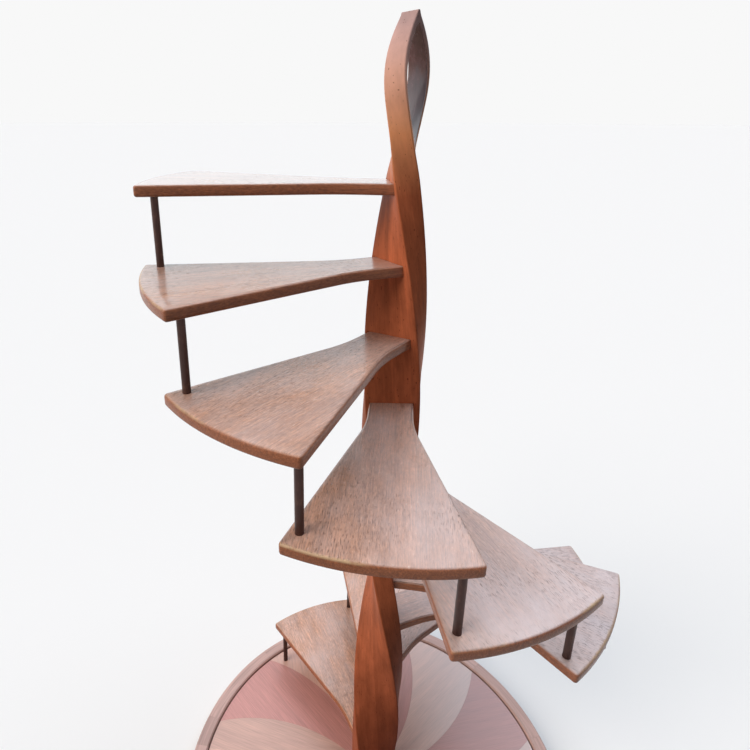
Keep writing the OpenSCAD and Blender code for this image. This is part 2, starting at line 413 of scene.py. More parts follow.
def model_blank(p, board):
    """The board before it is twisted: its width along Y, its thickness along X, with the arch and the eye."""
    tenon = (p.tenon_thick, p.tenon_width / 2, FLOOR_Z - FOOT_Z)
    piece = start_piece(
        "board_post",
        bpy.ops.mesh.primitive_cube_add,
        size=1,
        location=(0, p.tenon_width / 4, (FLOOR_Z + FOOT_Z) / 2),
        scale=tenon,
    )
    pick(piece, "FACE", lambda f: f.normal.z > 0.9)
    bpy.ops.mesh.extrude_region_move(TRANSFORM_OT_translate={"value": (0, 0, 0)})
    grown = (p.thick / p.tenon_thick, p.width / p.tenon_width, 1)
    bpy.ops.transform.resize(value=grown, center_override=(0, 0, FLOOR_Z))
    bpy.ops.mesh.extrude_region_move(TRANSFORM_OT_translate={"value": (0, 0, board.top - FLOOR_Z)})
    z, inner, outer, thick = board.top, 0.0, p.width / 2, p.thick / 2
    for new_z in board.stations():
        new = (board.eye(new_z), board.half(new_z), board.half_thick(new_z))
        bpy.ops.mesh.extrude_region_move(TRANSFORM_OT_translate={"value": (0, 0, new_z - z)})
        scaled = (new[2] / thick, (new[1] - new[0]) / (outer - inner), 1)
        bpy.ops.transform.resize(value=scaled, center_override=(0, inner, new_z))
        bpy.ops.transform.translate(value=(0, new[0] - inner, 0))
        z, (inner, outer, thick) = new_z, new
    pick(piece, "FACE", lambda f: all(abs(v.co.y) < TINY for v in f.verts))
    bpy.ops.mesh.delete(type="FACE")
    shaft = board.top - FLOOR_Z
    pick(piece, "EDGE", lambda e: abs(e.calc_length() - shaft) < CLOSE)
    bpy.ops.mesh.subdivide(number_cuts=round(shaft / SLICE))

    def is_across(edge):
        a, b = (v.co for v in edge.verts)
        return abs(a.z - b.z) < TINY and abs(a.x - b.x) < TINY and a.z > FLOOR_Z - TINY

    pick(piece, "EDGE", is_across)
    bpy.ops.mesh.subdivide(number_cuts=2)
    bpy.ops.object.mode_set(mode="OBJECT")
    apply(piece, "MIRROR", use_axis=(False, True, False), use_mirror_merge=True, merge_threshold=CLOSE)
    bpy.ops.object.mode_set(mode="EDIT")
    bpy.ops.mesh.select_all(action="SELECT")
    bpy.ops.mesh.normals_make_consistent(inside=False)

    def is_arris(edge):
        middle = (edge.verts[0].co + edge.verts[1].co) / 2
        at_ends = abs(middle.y) < 2 * MM or not FLOOR_Z < middle.z < TIP_Z - 3 * MM
        along = upright(edge) or middle.z > board.eye_low
        return edge_turn(edge) > POST_SHARP and along and not at_ends

    pick(piece, "EDGE", is_arris)
    bpy.ops.mesh.bevel(offset=p.arris, segments=3, profile=0.5, affect="EDGES", clamp_overlap=False)
    bpy.ops.object.mode_set(mode="OBJECT")
    return piece


def twist(piece, angle_per_metre, low, high):
    """Twists the piece about the post's axis between two heights, as a steamed board is twisted."""
    span = TIP_Z - FOOT_Z
    limits = ((low - FOOT_Z) / span, (high - FOOT_Z) / span)
    turn = angle_per_metre * (high - low)
    apply(piece, "SIMPLE_DEFORM", deform_method="TWIST", deform_axis="Z", angle=turn, limits=limits)


def housing_cutter(p, t):
    """One solid with a block for each tread's housing."""
    blocks = []
    for n in range(TREADS):
        turn = FIRST_ANGLE - n * STEP
        out = t.inner - p.housing_gap + p.width / 2
        block = start_piece(
            "housing",
            bpy.ops.mesh.primitive_cube_add,
            size=1,
            location=(out * math.cos(turn), out * math.sin(turn), TREAD_TOPS[n] - TREAD_THICK / 2),
            rotation=(0, 0, turn),
            scale=(p.width, t.neck + 2 * p.housing_gap, TREAD_THICK + 2 * p.housing_gap),
        )
        bpy.ops.object.mode_set(mode="OBJECT")
        blocks.append(block)
    for block in blocks:
        block.select_set(True)
    bpy.ops.object.join()
    return bpy.context.object


class StairPost(bpy.types.Operator):
    """Models the board with its arch and eye, twists it and cuts the housings for the treads"""

    bl_idname = "stair.post"
    bl_label = "Twisted post"

    def execute(self, context):
        p = context.scene.stair_post
        board = Board(p)
        piece = model_blank(p, board)
        lag_rate = p.lag / (board.lag_end - FLOOR_Z)
        twist(piece, -STEP / RISER, FLOOR_Z, TIP_Z)
        twist(piece, lag_rate, FLOOR_Z, board.lag_end)
        # a twist counts from the frame's origin, so the board is then turned to face the treads
        piece.rotation_euler.z = board.turn(FLOOR_Z) + FLOOR_Z * (STEP / RISER - lag_rate)
        bpy.ops.object.transform_apply(location=True, rotation=True, scale=True)
        cut(piece, housing_cutter(p, context.scene.stair_treads))
        only(piece)
        bpy.ops.object.mode_set(mode="EDIT")
        # the many-sided faces round the housings are split, so that the exported mesh stays closed
        pick(piece, "FACE", lambda f: len(f.verts) > 4)
        bpy.ops.mesh.quads_convert_to_tris(ngon_method="BEAUTY")
        finish_piece(POST_SMOOTH)
        points = points_of(piece)
        laid = turned(points, -board.turn(np.maximum(points[:, 2], FLOOR_Z)))
        lay_grain(piece, laid[:, [2, 1, 0]], 0)
        # faces inside the eye take the second material, with painted shade and a painted reflection
        inside = [0 < board.eye(z) > abs(y) - p.arris / 4 for y, z in laid[:, 1:]]
        piece.data.materials.clear()
        piece.data.materials.append(post_wood(p, board))
        piece.data.materials.append(eye_gloss_painted_shade(board))
        for face in piece.data.polygons:
            face.material_index = int(all(inside[v] for v in face.vertices))
        hand_in(piece, "twisted_post")
        return {"FINISHED"}


def dress(name, finish):
    """Gives a CAD node its finish."""
    node_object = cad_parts[name]
    node_object.data.materials.clear()
    node_object.data.materials.append(finish)


class StairBase(bpy.types.Operator):
    """Finishes the backing, the inlaid wedges and the segments of the rim"""

    bl_idname = "stair.base"
    bl_label = "Inlaid base"

    def execute(self, context):
        p = context.scene.stair_base
        dress("base_disc", backing_wood())
        # the last colour is the grey of a painted sheen on the window side
        dress("pale_wedges", inlay_wood(p, "maple_veneer_satin_varnish", p.pale_wood, "#b9bec3"))
        dress("red_wedges", inlay_wood(p, "padauk_veneer_satin_varnish", p.red_wood, "#a09499"))
        rim = rim_wood(p)
        for i in range(1, SEGMENTS + 1):
            dress(f"rim_segment_{i}", rim)
        return {"FINISHED"}


class StairRods(bpy.types.Operator):
    """Finishes the steel rods that tie the treads"""

    bl_idname = "stair.rods"
    bl_label = "Rods"

    def execute(self, context):
        steel = rod_steel(context.scene.stair_base)
        for n in range(1, TREADS + 1):
            dress(f"rod_{n}", steel)
        return {"FINISHED"}


def node(tree, kind, inputs=None, stops=(), **settings):
    """Adds a node, applies its settings and colour stops, and sets or links its inputs."""
    made = tree.nodes.new(kind)
    for key, value in settings.items():
        setattr(made, key, value)
    for i, (place, tone) in enumerate(stops):
        stop = made.color_ramp.elements[i] if i < 2 else made.color_ramp.elements.new(place)
        stop.position = place
        stop.color = tone
    for key, value in (inputs or {}).items():
        if isinstance(value, bpy.types.NodeSocket):
            tree.links.new(value, made.inputs[key])
        else:
            made.inputs[key].default_value = value
    return made


def start_material(name, **constants):
    """A material with one principled shader, and its constant values set on the shader's own sockets."""
    made = bpy.data.materials.new(name)
    made.use_nodes = True
    tree = made.node_tree
    shader = tree.nodes["Principled BSDF"]
    for key, value in constants.items():
        shader.inputs[key.replace("_", " ")].default_value = value
    return made, tree


def finish_material(made, tone, rough=None, bump=None):
    """Links the colour, and the roughness and the bump where they vary, to the material's shader."""
    tree = made.node_tree
    for key, value in {"Base Color": tone, "Roughness": rough, "Normal": bump}.items():
        if value is not None:
            tree.links.new(value, tree.nodes["Principled BSDF"].inputs[key])
    return made


def round_places(tree):
    """Places in millimetres, as a vector and apart, with their turn about the axis and their distance from it."""
    where = node(tree, "ShaderNodeTexCoord").outputs["Object"]
    where = node(tree, "ShaderNodeVectorMath", {0: where, 3: 1 / MM}, operation="SCALE").outputs[0]
    place = node(tree, "ShaderNodeSeparateXYZ", {0: where})
    turn = node(tree, "ShaderNodeMath", {0: place.outputs[1], 1: place.outputs[0]}, operation="ARCTAN2").outputs[0]
    flat = node(tree, "ShaderNodeVectorMath", {0: where, 1: (1, 1, 0)}, operation="MULTIPLY").outputs[0]
    reach = node(tree, "ShaderNodeVectorMath", {0: flat}, operation="LENGTH").outputs["Value"]
    return where, place, turn, reach


def seen_rays(tree):
    """One where the camera sees a surface, directly, mirrored or through glass, and zero elsewhere."""
    rays = node(tree, "ShaderNodeLightPath").outputs
    seen = rays["Is Camera Ray"]
    for other in ("Is Glossy Ray", "Is Transmission Ray"):
        seen = node(tree, "ShaderNodeMath", {0: seen, 1: rays[other]}, operation="MAXIMUM").outputs[0]
    return seen


def toned(tone, factor):
    """A lighter or darker tone of a colour."""
    return tuple(min(1.0, c * factor) for c in tone[:3]) + (1.0,)


def tread_wood(p):
    # Mahogany, planed and varnished long ago: reddish brown with open pores as short dark dashes along the grain,
    # grey patches where the old varnish has bloomed with painted sheen over them, darker sides with painted shade,
    # painted glints on the lumps, and pale chips of bare wood on the outer arris
    made, tree = start_material(
        "mahogany_planed_old_varnish",
        Specular_IOR_Level=0.2,
        Coat_Weight=0.5,
        Coat_IOR=1.35,
        Coat_Roughness=0.16,
        Sheen_Weight=0.04,
        Sheen_Roughness=0.3,
        Sheen_Tint=linear("#e4e8f4"),
    )
    wood = tuple(p.wood)
    grain = node(tree, "ShaderNodeAttribute", attribute_name="grain").outputs["Vector"]
    plank = node(tree, "ShaderNodeAttribute", attribute_name="plank").outputs["Fac"]
    place = node(tree, "ShaderNodeSeparateXYZ", {0: grain})
    # the broken patches of the varnish are drawn apart from the bands, by a step in the noise
    apart = node(tree, "ShaderNodeMath", {0: plank, 1: 2.7}, operation="ADD").outputs[0]
    # length and width of each pattern in millimetres; real fibres and pores are half as wide and wouldn't show
    patterns = {
        "growth bands": (120, 12, {"Detail": 3.0, "Distortion": 0.6}),
        "fibres": (25, 1, {"Detail": 2.0}),
        "lumps of varnish": (6, 2, {"Detail": 3.0, "Roughness": 0.7}),
        "bloom_and_sheen": (90, 50, {"Detail": 5.0, "Roughness": 0.6}),
        "pores": (5, 0.5, {"Detail": 0.0}),
        "broken varnish": (70, 70, {"W": apart, "Detail": 3.0}),
        "frayed arris": (3, 5, {"Detail": 3.0, "Roughness": 0.7}),
    }
    drawn = []
    for along, wide, settings in patterns.values():
        at = node(tree, "ShaderNodeVectorMath", {0: grain, 1: (along, wide, wide)}, operation="DIVIDE").outputs[0]
        inputs = {"Vector": at, "W": plank, "Scale": 1.0} | settings
        drawn.append(node(tree, "ShaderNodeTexNoise", inputs, noise_dimensions="4D").outputs["Fac"])
    bands, fibres, lumps, bloom_and_sheen, pores, broken, fray = drawn
    stops = ((0.28, toned(wood, 0.8)), (0.72, toned(wood, 1.2)), (0.5, wood))
    tone = node(tree, "ShaderNodeValToRGB", {0: bands}, stops).outputs[0]
    fibre_tone = node(tree, "ShaderNodeMapRange", {0: fibres, 1: 0.3, 2: 0.7, 3: 0.74, 4: 1.26}).outputs[0]
    lump_tone = node(tree, "ShaderNodeMapRange", {0: lumps, 1: 0.35, 2: 0.65, 3: 0.8, 4: 1.2}).outputs[0]
    # the faces that aren't level take a darker, redder tone: painted shade of the sides, on wood that shows the same
    # fibres and lumps
    shaded_side_tone = linear("#985936")[:3]
    for varied in (fibre_tone, lump_tone):
        tone = node(tree, "ShaderNodeVectorMath", {0: tone, 1: varied}, operation="MULTIPLY").outputs[0]
        shaded_side_tone = node(tree, "ShaderNodeVectorMath", {0: varied, 1: shaded_side_tone}, operation="MULTIPLY").outputs[0]
    # grey patches where the old varnish has bloomed, partly painted sheen, and a painted sheen of the window light
    # that grows across the model towards +X
    bloom_and_sheen_share = node(tree, "ShaderNodeMapRange", {0: bloom_and_sheen, 1: 0.36, 2: 0.68, 3: 0.0, 4: 0.42}).outputs[0]
    where = node(tree, "ShaderNodeTexCoord").outputs["Object"]
    across = node(tree, "ShaderNodeSeparateXYZ", {0: where}).outputs[0]
    painted_window_sheen = node(tree, "ShaderNodeMapRange", {0: across, 1: PAINTED_SHEEN_FROM, 2: PAINTED_SHEEN_TO, 3: 0.0, 4: 0.5}).outputs[0]
    bloom_and_sheen_share = node(tree, "ShaderNodeMath", {0: bloom_and_sheen_share, 1: painted_window_sheen}, operation="ADD").outputs[0]
    tone = node(tree, "ShaderNodeMix", {0: bloom_and_sheen_share, 6: tone, 7: tuple(p.bloom_and_sheen)}, data_type="RGBA").outputs[2]
    # the pores show as pits where the varnish has broken up
    pores = node(tree, "ShaderNodeMapRange", {0: pores, 1: 0.62, 2: 0.74, 3: 0.0, 4: 1.0}).outputs[0]
    broken = node(tree, "ShaderNodeMapRange", {0: broken, 1: 0.42, 2: 0.6, 3: 0.15, 4: 1.0}).outputs[0]
    pores = node(tree, "ShaderNodeMath", {0: pores, 1: broken}, operation="MULTIPLY").outputs[0]
    pore_share = node(tree, "ShaderNodeMath", {0: pores, 1: 0.45}, operation="MULTIPLY").outputs[0]
    tone = node(tree, "ShaderNodeMix", {0: pore_share, 6: tone, 7: linear("#452a1f")}, data_type="RGBA").outputs[2]
    # the highest lumps get pale painted glints
    painted_glints = node(tree, "ShaderNodeMapRange", {0: lumps, 1: 0.62, 2: 0.72, 3: 0.0, 4: 0.7}).outputs[0]
    tone = node(tree, "ShaderNodeMix", {0: painted_glints, 6: tone, 7: linear("#dcd2cc")}, data_type="RGBA").outputs[2]
    normal = node(tree, "ShaderNodeNewGeometry").outputs["Normal"]
    up = node(tree, "ShaderNodeSeparateXYZ", {0: normal}).outputs[2]
    level = node(tree, "ShaderNodeMath", {0: up}, operation="ABSOLUTE").outputs[0]
    shaded_side_share = node(tree, "ShaderNodeMapRange", {0: level, 1: 0.55, 2: 0.97, 3: 0.92, 4: 0.0}).outputs[0]
    tone = node(tree, "ShaderNodeMix", {0: shaded_side_share, 6: tone, 7: shaded_side_tone}, data_type="RGBA").outputs[2]
    # bare wood within about 2 mm of the outer arris, frayed, and only where it is rubbed
    flat = node(tree, "ShaderNodeVectorMath", {0: grain, 1: (1, 1, 0)}, operation="MULTIPLY").outputs[0]
    reach = node(tree, "ShaderNodeVectorMath", {0: flat}, operation="LENGTH").outputs["Value"]
    outer = node(tree, "ShaderNodeMath", {0: p.radius / MM, 1: reach}, operation="SUBTRACT").outputs[0]
    near = node(tree, "ShaderNodeMath", {0: fray, 1: 5.0, 2: outer}, operation="MULTIPLY_ADD").outputs[0]
    worn = node(tree, "ShaderNodeMapRange", {0: near, 1: 2.8, 2: 4.6, 3: 1.0, 4: 0.0}).outputs[0]
    rubbed = node(tree, "ShaderNodeMapRange", {0: broken, 1: 0.45, 2: 0.95, 3: 0.0, 4: 1.0}).outputs[0]
    worn = node(tree, "ShaderNodeMath", {0: worn, 1: rubbed}, operation="MULTIPLY").outputs[0]
    arris = node(tree, "ShaderNodeMapRange", {0: place.outputs[2], 1: -2.2, 2: -0.9, 3: 0.0, 4: 0.85}).outputs[0]
    worn = node(tree, "ShaderNodeMath", {0: worn, 1: arris}, operation="MULTIPLY").outputs[0]
    tone = node(tree, "ShaderNodeMix", {0: worn, 6: tone, 7: tuple(p.bare)}, data_type="RGBA").outputs[2]
    rough = node(tree, "ShaderNodeMapRange", {0: bloom_and_sheen, 1: 0.33, 2: 0.65, 3: 0.24, 4: 0.38}).outputs[0]
    rough = node(tree, "ShaderNodeMath", {0: shaded_side_share, 1: 0.3, 2: rough}, operation="MULTIPLY_ADD").outputs[0]
    rough = node(tree, "ShaderNodeMath", {0: pores, 1: 0.2, 2: rough}, operation="MULTIPLY_ADD").outputs[0]
    height = node(tree, "ShaderNodeMath", {0: pores, 1: -2.0, 2: fibres}, operation="MULTIPLY_ADD").outputs[0]
    height = node(tree, "ShaderNodeMath", {0: lumps, 1: 1.6, 2: height}, operation="MULTIPLY_ADD").outputs[0]
    bump = node(tree, "ShaderNodeBump", {"Height": height, "Strength": 0.8, "Distance": 0.35 * MM}).outputs[0]
    return finish_material(made, tone, rough, bump)


def post_wood(p, board):
    # Mahogany, carved smooth and satin varnished: saturated orange red with fine streaks that follow the twist, a
    # painted highlight and painted sheen on the arch, and a faint change of tone where two boards are glued
    made, tree = start_material("mahogany_carved_satin_varnish", Specular_IOR_Level=0.04)
    wood = tuple(p.wood)
    grain = node(tree, "ShaderNodeAttribute", attribute_name="grain").outputs["Vector"]
    place = node(tree, "ShaderNodeSeparateXYZ", {0: grain})
    # length and width of each pattern in millimetres; real fibres are finer and wouldn't show
    patterns = {
        "streaks": (250, 5, {"Detail": 4.0, "Distortion": 0.3}),
        "fibres": (35, 0.8, {"Detail": 2.0}),
        "blotches": (40, 12, {"Detail": 4.0, "Roughness": 0.65}),
        "dark pits": (3, 1.2, {"Detail": 0.0}),
        "dull patches": (60, 20, {"Detail": 4.0}),
    }
    drawn = []
    for along, wide, settings in patterns.values():
        at = node(tree, "ShaderNodeVectorMath", {0: grain, 1: (along, wide, wide)}, operation="DIVIDE").outputs[0]
        drawn.append(node(tree, "ShaderNodeTexNoise", {"Vector": at, "Scale": 1.0} | settings).outputs["Fac"])
    streaks, fibres, blotch, pits, dull = drawn
    stops = ((0.28, toned(wood, 0.91)), (0.74, toned(wood, 1.09)), (0.5, wood))
    tone = node(tree, "ShaderNodeValToRGB", {0: streaks}, stops).outputs[0]
    fibre_tone = node(tree, "ShaderNodeMapRange", {0: fibres, 1: 0.3, 2: 0.7, 3: 0.93, 4: 1.07}).outputs[0]
    blotch = node(tree, "ShaderNodeMapRange", {0: blotch, 1: 0.3, 2: 0.7, 3: 0.88, 4: 1.16}).outputs[0]
    # two boards glued at the middle of the width
    glued = node(tree, "ShaderNodeMapRange", {0: place.outputs[1], 1: -0.6, 2: 0.6, 3: 0.9, 4: 1.06}).outputs[0]
    for varied in (fibre_tone, blotch, glued):
        tone = node(tree, "ShaderNodeVectorMath", {0: tone, 1: varied}, operation="MULTIPLY").outputs[0]
    # darker and redder towards the bottom of the post
    low = node(tree, "ShaderNodeMapRange", {0: place.outputs[0], 1: 120.0, 2: 330.0, 3: 0.45, 4: 0.0}).outputs[0]
    tone = node(tree, "ShaderNodeMix", {0: low, 6: tone, 7: linear("#5c2212")}, data_type="RGBA").outputs[2]
    # above the top tread a painted highlight, tan and then pink, and a painted grey sheen at the tip, each from and
    # up to a share of that height
    arch_light_from = (board.top - TREAD_THICK) / MM
    painted_arch_light = node(tree, "ShaderNodeMapRange", {0: place.outputs[0], 1: arch_light_from, 2: TIP_Z / MM}).outputs[0]
    arch_light_tones = ((0.0, 0.4, 0.85, "#e2a074"), (0.35, 0.75, 0.9, "#e2b6aa"), (0.7, 0.95, 0.85, "#b49a9a"))
    for start, end, most, code in arch_light_tones:
        part = node(tree, "ShaderNodeMapRange", {0: painted_arch_light, 1: start, 2: end, 3: 0.0, 4: most}).outputs[0]
        tone = node(tree, "ShaderNodeMix", {0: part, 6: tone, 7: linear(code)}, data_type="RGBA").outputs[2]
    tone = node(tree, "ShaderNodeVectorMath", {0: tone, 1: blotch}, operation="MULTIPLY").outputs[0]
    pits = node(tree, "ShaderNodeMapRange", {0: pits, 1: 0.77, 2: 0.82, 3: 0.0, 4: 0.6}).outputs[0]
    tone = node(tree, "ShaderNodeMix", {0: pits, 6: tone, 7: linear("#4a2012")}, data_type="RGBA").outputs[2]
    rough = node(tree, "ShaderNodeMapRange", {0: dull, 1: 0.3, 2: 0.7, 3: 0.34, 4: 0.5}).outputs[0]
    bump = node(tree, "ShaderNodeBump", {"Height": fibres, "Strength": 0.25, "Distance": 0.15 * MM}).outputs[0]
    return finish_material(made, tone, rough, bump)


def eye_gloss_painted_shade(board):
    # Mahogany inside the eye, scraped smooth and thickly varnished: plum brown painted shade with a mirror-like
    # sheen, and a blue-white painted reflection of the sky towards the lower end
    made, tree = start_material(
        "mahogany_gloss_painted_shade_and_reflection", Specular_IOR_Level=0.6, Coat_Weight=0.8, Coat_Roughness=0.12
    )
    grain = node(tree, "ShaderNodeAttribute", attribute_name="grain").outputs["Vector"]
    # streaks about 3 mm wide and 40 mm long
    at = node(tree, "ShaderNodeVectorMath", {0: grain, 1: (40, 3, 3)}, operation="DIVIDE").outputs[0]
    streaks = node(tree, "ShaderNodeTexNoise", {"Vector": at, "Scale": 1.0, "Detail": 4.0}).outputs["Fac"]
    # the plum tones are painted shade inside the eye
    stops = ((0.3, linear("#4a2e32")), (0.7, linear("#6a4a50")))
    tone = node(tree, "ShaderNodeValToRGB", {0: streaks}, stops).outputs[0]
    rise = node(tree, "ShaderNodeSeparateXYZ", {0: grain}).outputs[0]
    # a painted reflection, brightest near the lower end of the eye
    run = node(tree, "ShaderNodeMapRange", {0: rise, 1: board.eye_low / MM, 2: board.eye_top / MM}).outputs[0]
    stops = ((0.05, linear("#e8e8e8")), (0.75, linear("#000000")), (0.4, linear("#8c8c8c")))
    run = node(tree, "ShaderNodeValToRGB", {0: run}, stops).outputs[0]
    tone = node(tree, "ShaderNodeMix", {0: run, 6: tone, 7: linear("#b4c4d0")}, data_type="RGBA").outputs[2]
    rough = node(tree, "ShaderNodeMapRange", {0: streaks, 1: 0.3, 2: 0.7, 3: 0.2, 4: 0.3}).outputs[0]
    return finish_material(made, tone, rough)


def inlay_wood(p, name, wood, grey):
    # Sawn veneer laid in curved wedges and satin varnished: fine straight grain along each wedge, a slightly
    # different tone from wedge to wedge, and a pale sheen at low angles
    made, tree = start_material(
        name,
        Specular_IOR_Level=0.45,
        Coat_Weight=0.12,
        Coat_Roughness=0.3,
        Sheen_Weight=0.05,
        Sheen_Roughness=0.3,
        Sheen_Tint=linear("#e6e2ec"),
    )
    wood = tuple(wood)
    where, place, turn, reach = round_places(tree)
    # the curved joints are arcs through the centre, so their turn grows with the distance from it
    bow = node(tree, "ShaderNodeMath", {0: reach, 1: 2 * p.floor_radius / MM}, operation="DIVIDE").outputs[0]
    bow = node(tree, "ShaderNodeMath", {0: bow}, operation="ARCSINE").outputs[0]
    turn = node(tree, "ShaderNodeMath", {0: turn, 1: bow}, operation="SUBTRACT").outputs[0]
    turn = node(tree, "ShaderNodeMath", {0: turn, 1: -p.joint_angle}, operation="ADD").outputs[0]
    wedge = node(tree, "ShaderNodeMath", {0: turn, 1: STEP}, operation="DIVIDE").outputs[0]
    wedge = node(tree, "ShaderNodeMath", {0: wedge}, operation="FLOOR").outputs[0]
    # the grain follows the middle of a wedge halfway out, where the joints have turned by the arcsine of a quarter
    middle = p.joint_angle + STEP / 2 + math.asin(1 / 4)
    back = node(tree, "ShaderNodeMath", {0: wedge, 1: -STEP, 2: -middle}, operation="MULTIPLY_ADD").outputs[0]
    grain = node(tree, "ShaderNodeVectorRotate", {"Vector": where, "Angle": back}, rotation_type="Z_AXIS").outputs[0]
    # length and width of each pattern in millimetres; real fibres are finer and wouldn't show
    patterns = {
        "bands": (150, 7, {"Detail": 4.0, "Distortion": 0.3}),
        "fibres": (30, 0.9, {"Detail": 2.0}),
    }
    drawn = []
    for along, wide, settings in patterns.values():
        at = node(tree, "ShaderNodeVectorMath", {0: grain, 1: (along, wide, wide)}, operation="DIVIDE").outputs[0]
        inputs = {"Vector": at, "W": wedge, "Scale": 1.0} | settings
        drawn.append(node(tree, "ShaderNodeTexNoise", inputs, noise_dimensions="4D").outputs["Fac"])
    bands, fibres = drawn
    stops = ((0.28, toned(wood, 0.9)), (0.72, toned(wood, 1.1)), (0.5, wood))
    tone = node(tree, "ShaderNodeValToRGB", {0: bands}, stops).outputs[0]
    fibre_tone = node(tree, "ShaderNodeMapRange", {0: fibres, 1: 0.3, 2: 0.7, 3: 0.85, 4: 1.15}).outputs[0]
    own = node(tree, "ShaderNodeTexWhiteNoise", {"W": wedge}, noise_dimensions="1D").outputs["Value"]
    own = node(tree, "ShaderNodeMapRange", {0: own, 3: 0.88, 4: 1.1}).outputs[0]
    for varied in (fibre_tone, own):
        tone = node(tree, "ShaderNodeVectorMath", {0: tone, 1: varied}, operation="MULTIPLY").outputs[0]
    # a painted sheen of the window light, growing across the model towards +X
    across = node(tree, "ShaderNodeMath", {0: place.outputs[0], 1: MM}, operation="MULTIPLY").outputs[0]
    painted_window_sheen = node(tree, "ShaderNodeMapRange", {0: across, 1: PAINTED_SHEEN_FROM, 2: PAINTED_SHEEN_TO, 3: 0.0, 4: 0.5}).outputs[0]
    tone = node(tree, "ShaderNodeMix", {0: painted_window_sheen, 6: tone, 7: linear(grey)}, data_type="RGBA").outputs[2]
    rough = node(tree, "ShaderNodeMapRange", {0: bands, 1: 0.3, 2: 0.7, 3: 0.36, 4: 0.48}).outputs[0]
    bump = node(tree, "ShaderNodeBump", {"Height": fibres, "Strength": 0.25, "Distance": 0.15 * MM}).outputs[0]
    return finish_material(made, tone, rough, bump)


def rim_wood(p):
    # Beech segments, turned and satin varnished: pinkish beige with short flecks round the rim, and a slightly
    # different tone from segment to segment
    made, tree = start_material(
        "beech_turned_satin_varnish",
        Specular_IOR_Level=0.4,
        Coat_Weight=0.1,
        Coat_Roughness=0.3,
        Sheen_Weight=0.05,
        Sheen_Roughness=0.3,
        Sheen_Tint=linear("#ece6ea"),
    )
    wood = tuple(p.rim_wood)
    _, place, turn, reach = round_places(tree)
    round_rim = node(tree, "ShaderNodeMath", {0: turn, 1: p.floor_radius / MM}, operation="MULTIPLY").outputs[0]
    grain = node(tree, "ShaderNodeCombineXYZ", {0: round_rim, 1: reach, 2: place.outputs[2]}).outputs[0]
    # the segments' joints meet the wedges' joints at the rim
    joint = -(p.joint_angle + math.asin(p.inlay_radius / (2 * p.floor_radius)))
    segment = node(tree, "ShaderNodeMath", {0: turn, 1: joint}, operation="ADD").outputs[0]
    segment = node(tree, "ShaderNodeMath", {0: segment, 1: STEP}, operation="DIVIDE").outputs[0]
    segment = node(tree, "ShaderNodeMath", {0: segment}, operation="FLOOR").outputs[0]
    # flecks about 3 mm wide and 60 mm long
    at = node(tree, "ShaderNodeVectorMath", {0: grain, 1: (60, 3, 3)}, operation="DIVIDE").outputs[0]
    noise = {"Vector": at, "W": segment, "Scale": 1.0, "Detail": 4.0}
    bands = node(tree, "ShaderNodeTexNoise", noise, noise_dimensions="4D").outputs["Fac"]
    stops = ((0.28, toned(wood, 0.72)), (0.72, toned(wood, 1.25)), (0.5, wood))
    tone = node(tree, "ShaderNodeValToRGB", {0: bands}, stops).outputs[0]
    own = node(tree, "ShaderNodeTexWhiteNoise", {"W": segment}, noise_dimensions="1D").outputs["Value"]
    own = node(tree, "ShaderNodeMapRange", {0: own, 3: 0.86, 4: 1.1}).outputs[0]
    tone = node(tree, "ShaderNodeVectorMath", {0: tone, 1: own}, operation="MULTIPLY").outputs[0]
    rough = node(tree, "ShaderNodeMapRange", {0: bands, 1: 0.3, 2: 0.7, 3: 0.36, 4: 0.5}).outputs[0]
    bump = node(tree, "ShaderNodeBump", {"Height": bands, "Strength": 0.2, "Distance": 0.15 * MM}).outputs[0]
    return finish_material(made, tone, rough, bump)


def backing_wood():
    # Birch plywood, sanded and stained: plain brown with long faint bands, dull
    made, tree = start_material("birch_plywood_stained", Specular_IOR_Level=0.3)
    where = node(tree, "ShaderNodeTexCoord").outputs["Object"]
    # bands about 12 mm wide and 200 mm long
    size = (200 * MM, 12 * MM, 12 * MM)
    at = node(tree, "ShaderNodeVectorMath", {0: where, 1: size}, operation="DIVIDE").outputs[0]
    noise = {"Vector": at, "Scale": 1.0, "Detail": 5.0, "Distortion": 0.5}
    bands = node(tree, "ShaderNodeTexNoise", noise).outputs["Fac"]
    stops = ((0.3, linear("#6b4836")), (0.7, linear("#97705a")))
    tone = node(tree, "ShaderNodeValToRGB", {0: bands}, stops).outputs[0]
    rough = node(tree, "ShaderNodeMapRange", {0: bands, 1: 0.3, 2: 0.7, 3: 0.55, 4: 0.7}).outputs[0]
    return finish_material(made, tone, rough)


def rod_steel(p):
    # Drawn steel rod with a brown-black patina: dark and slightly glossy, with rusty brown patches
    made, tree = start_material("steel_drawn_dark_patina", Metallic=0.55)
    steel = tuple(p.steel)
    where = node(tree, "ShaderNodeTexCoord").outputs["Object"]
    # patches about 4 mm across and 9 mm tall
    size = (4 * MM, 4 * MM, 9 * MM)
    at = node(tree, "ShaderNodeVectorMath", {0: where, 1: size}, operation="DIVIDE").outputs[0]
    noise = {"Vector": at, "Scale": 1.0, "Detail": 5.0, "Roughness": 0.65}
    patches = node(tree, "ShaderNodeTexNoise", noise).outputs["Fac"]
    stops = ((0.3, toned(steel, 0.7)), (0.7, linear("#5c4238")), (0.52, steel))
    tone = node(tree, "ShaderNodeValToRGB", {0: patches}, stops).outputs[0]
    rough = node(tree, "ShaderNodeMapRange", {0: patches, 1: 0.3, 2: 0.7, 3: 0.32, 4: 0.55}).outputs[0]
    bump = node(tree, "ShaderNodeBump", {"Height": patches, "Strength": 0.2, "Distance": 0.1 * MM}).outputs[0]
    return finish_material(made, tone, rough, bump)


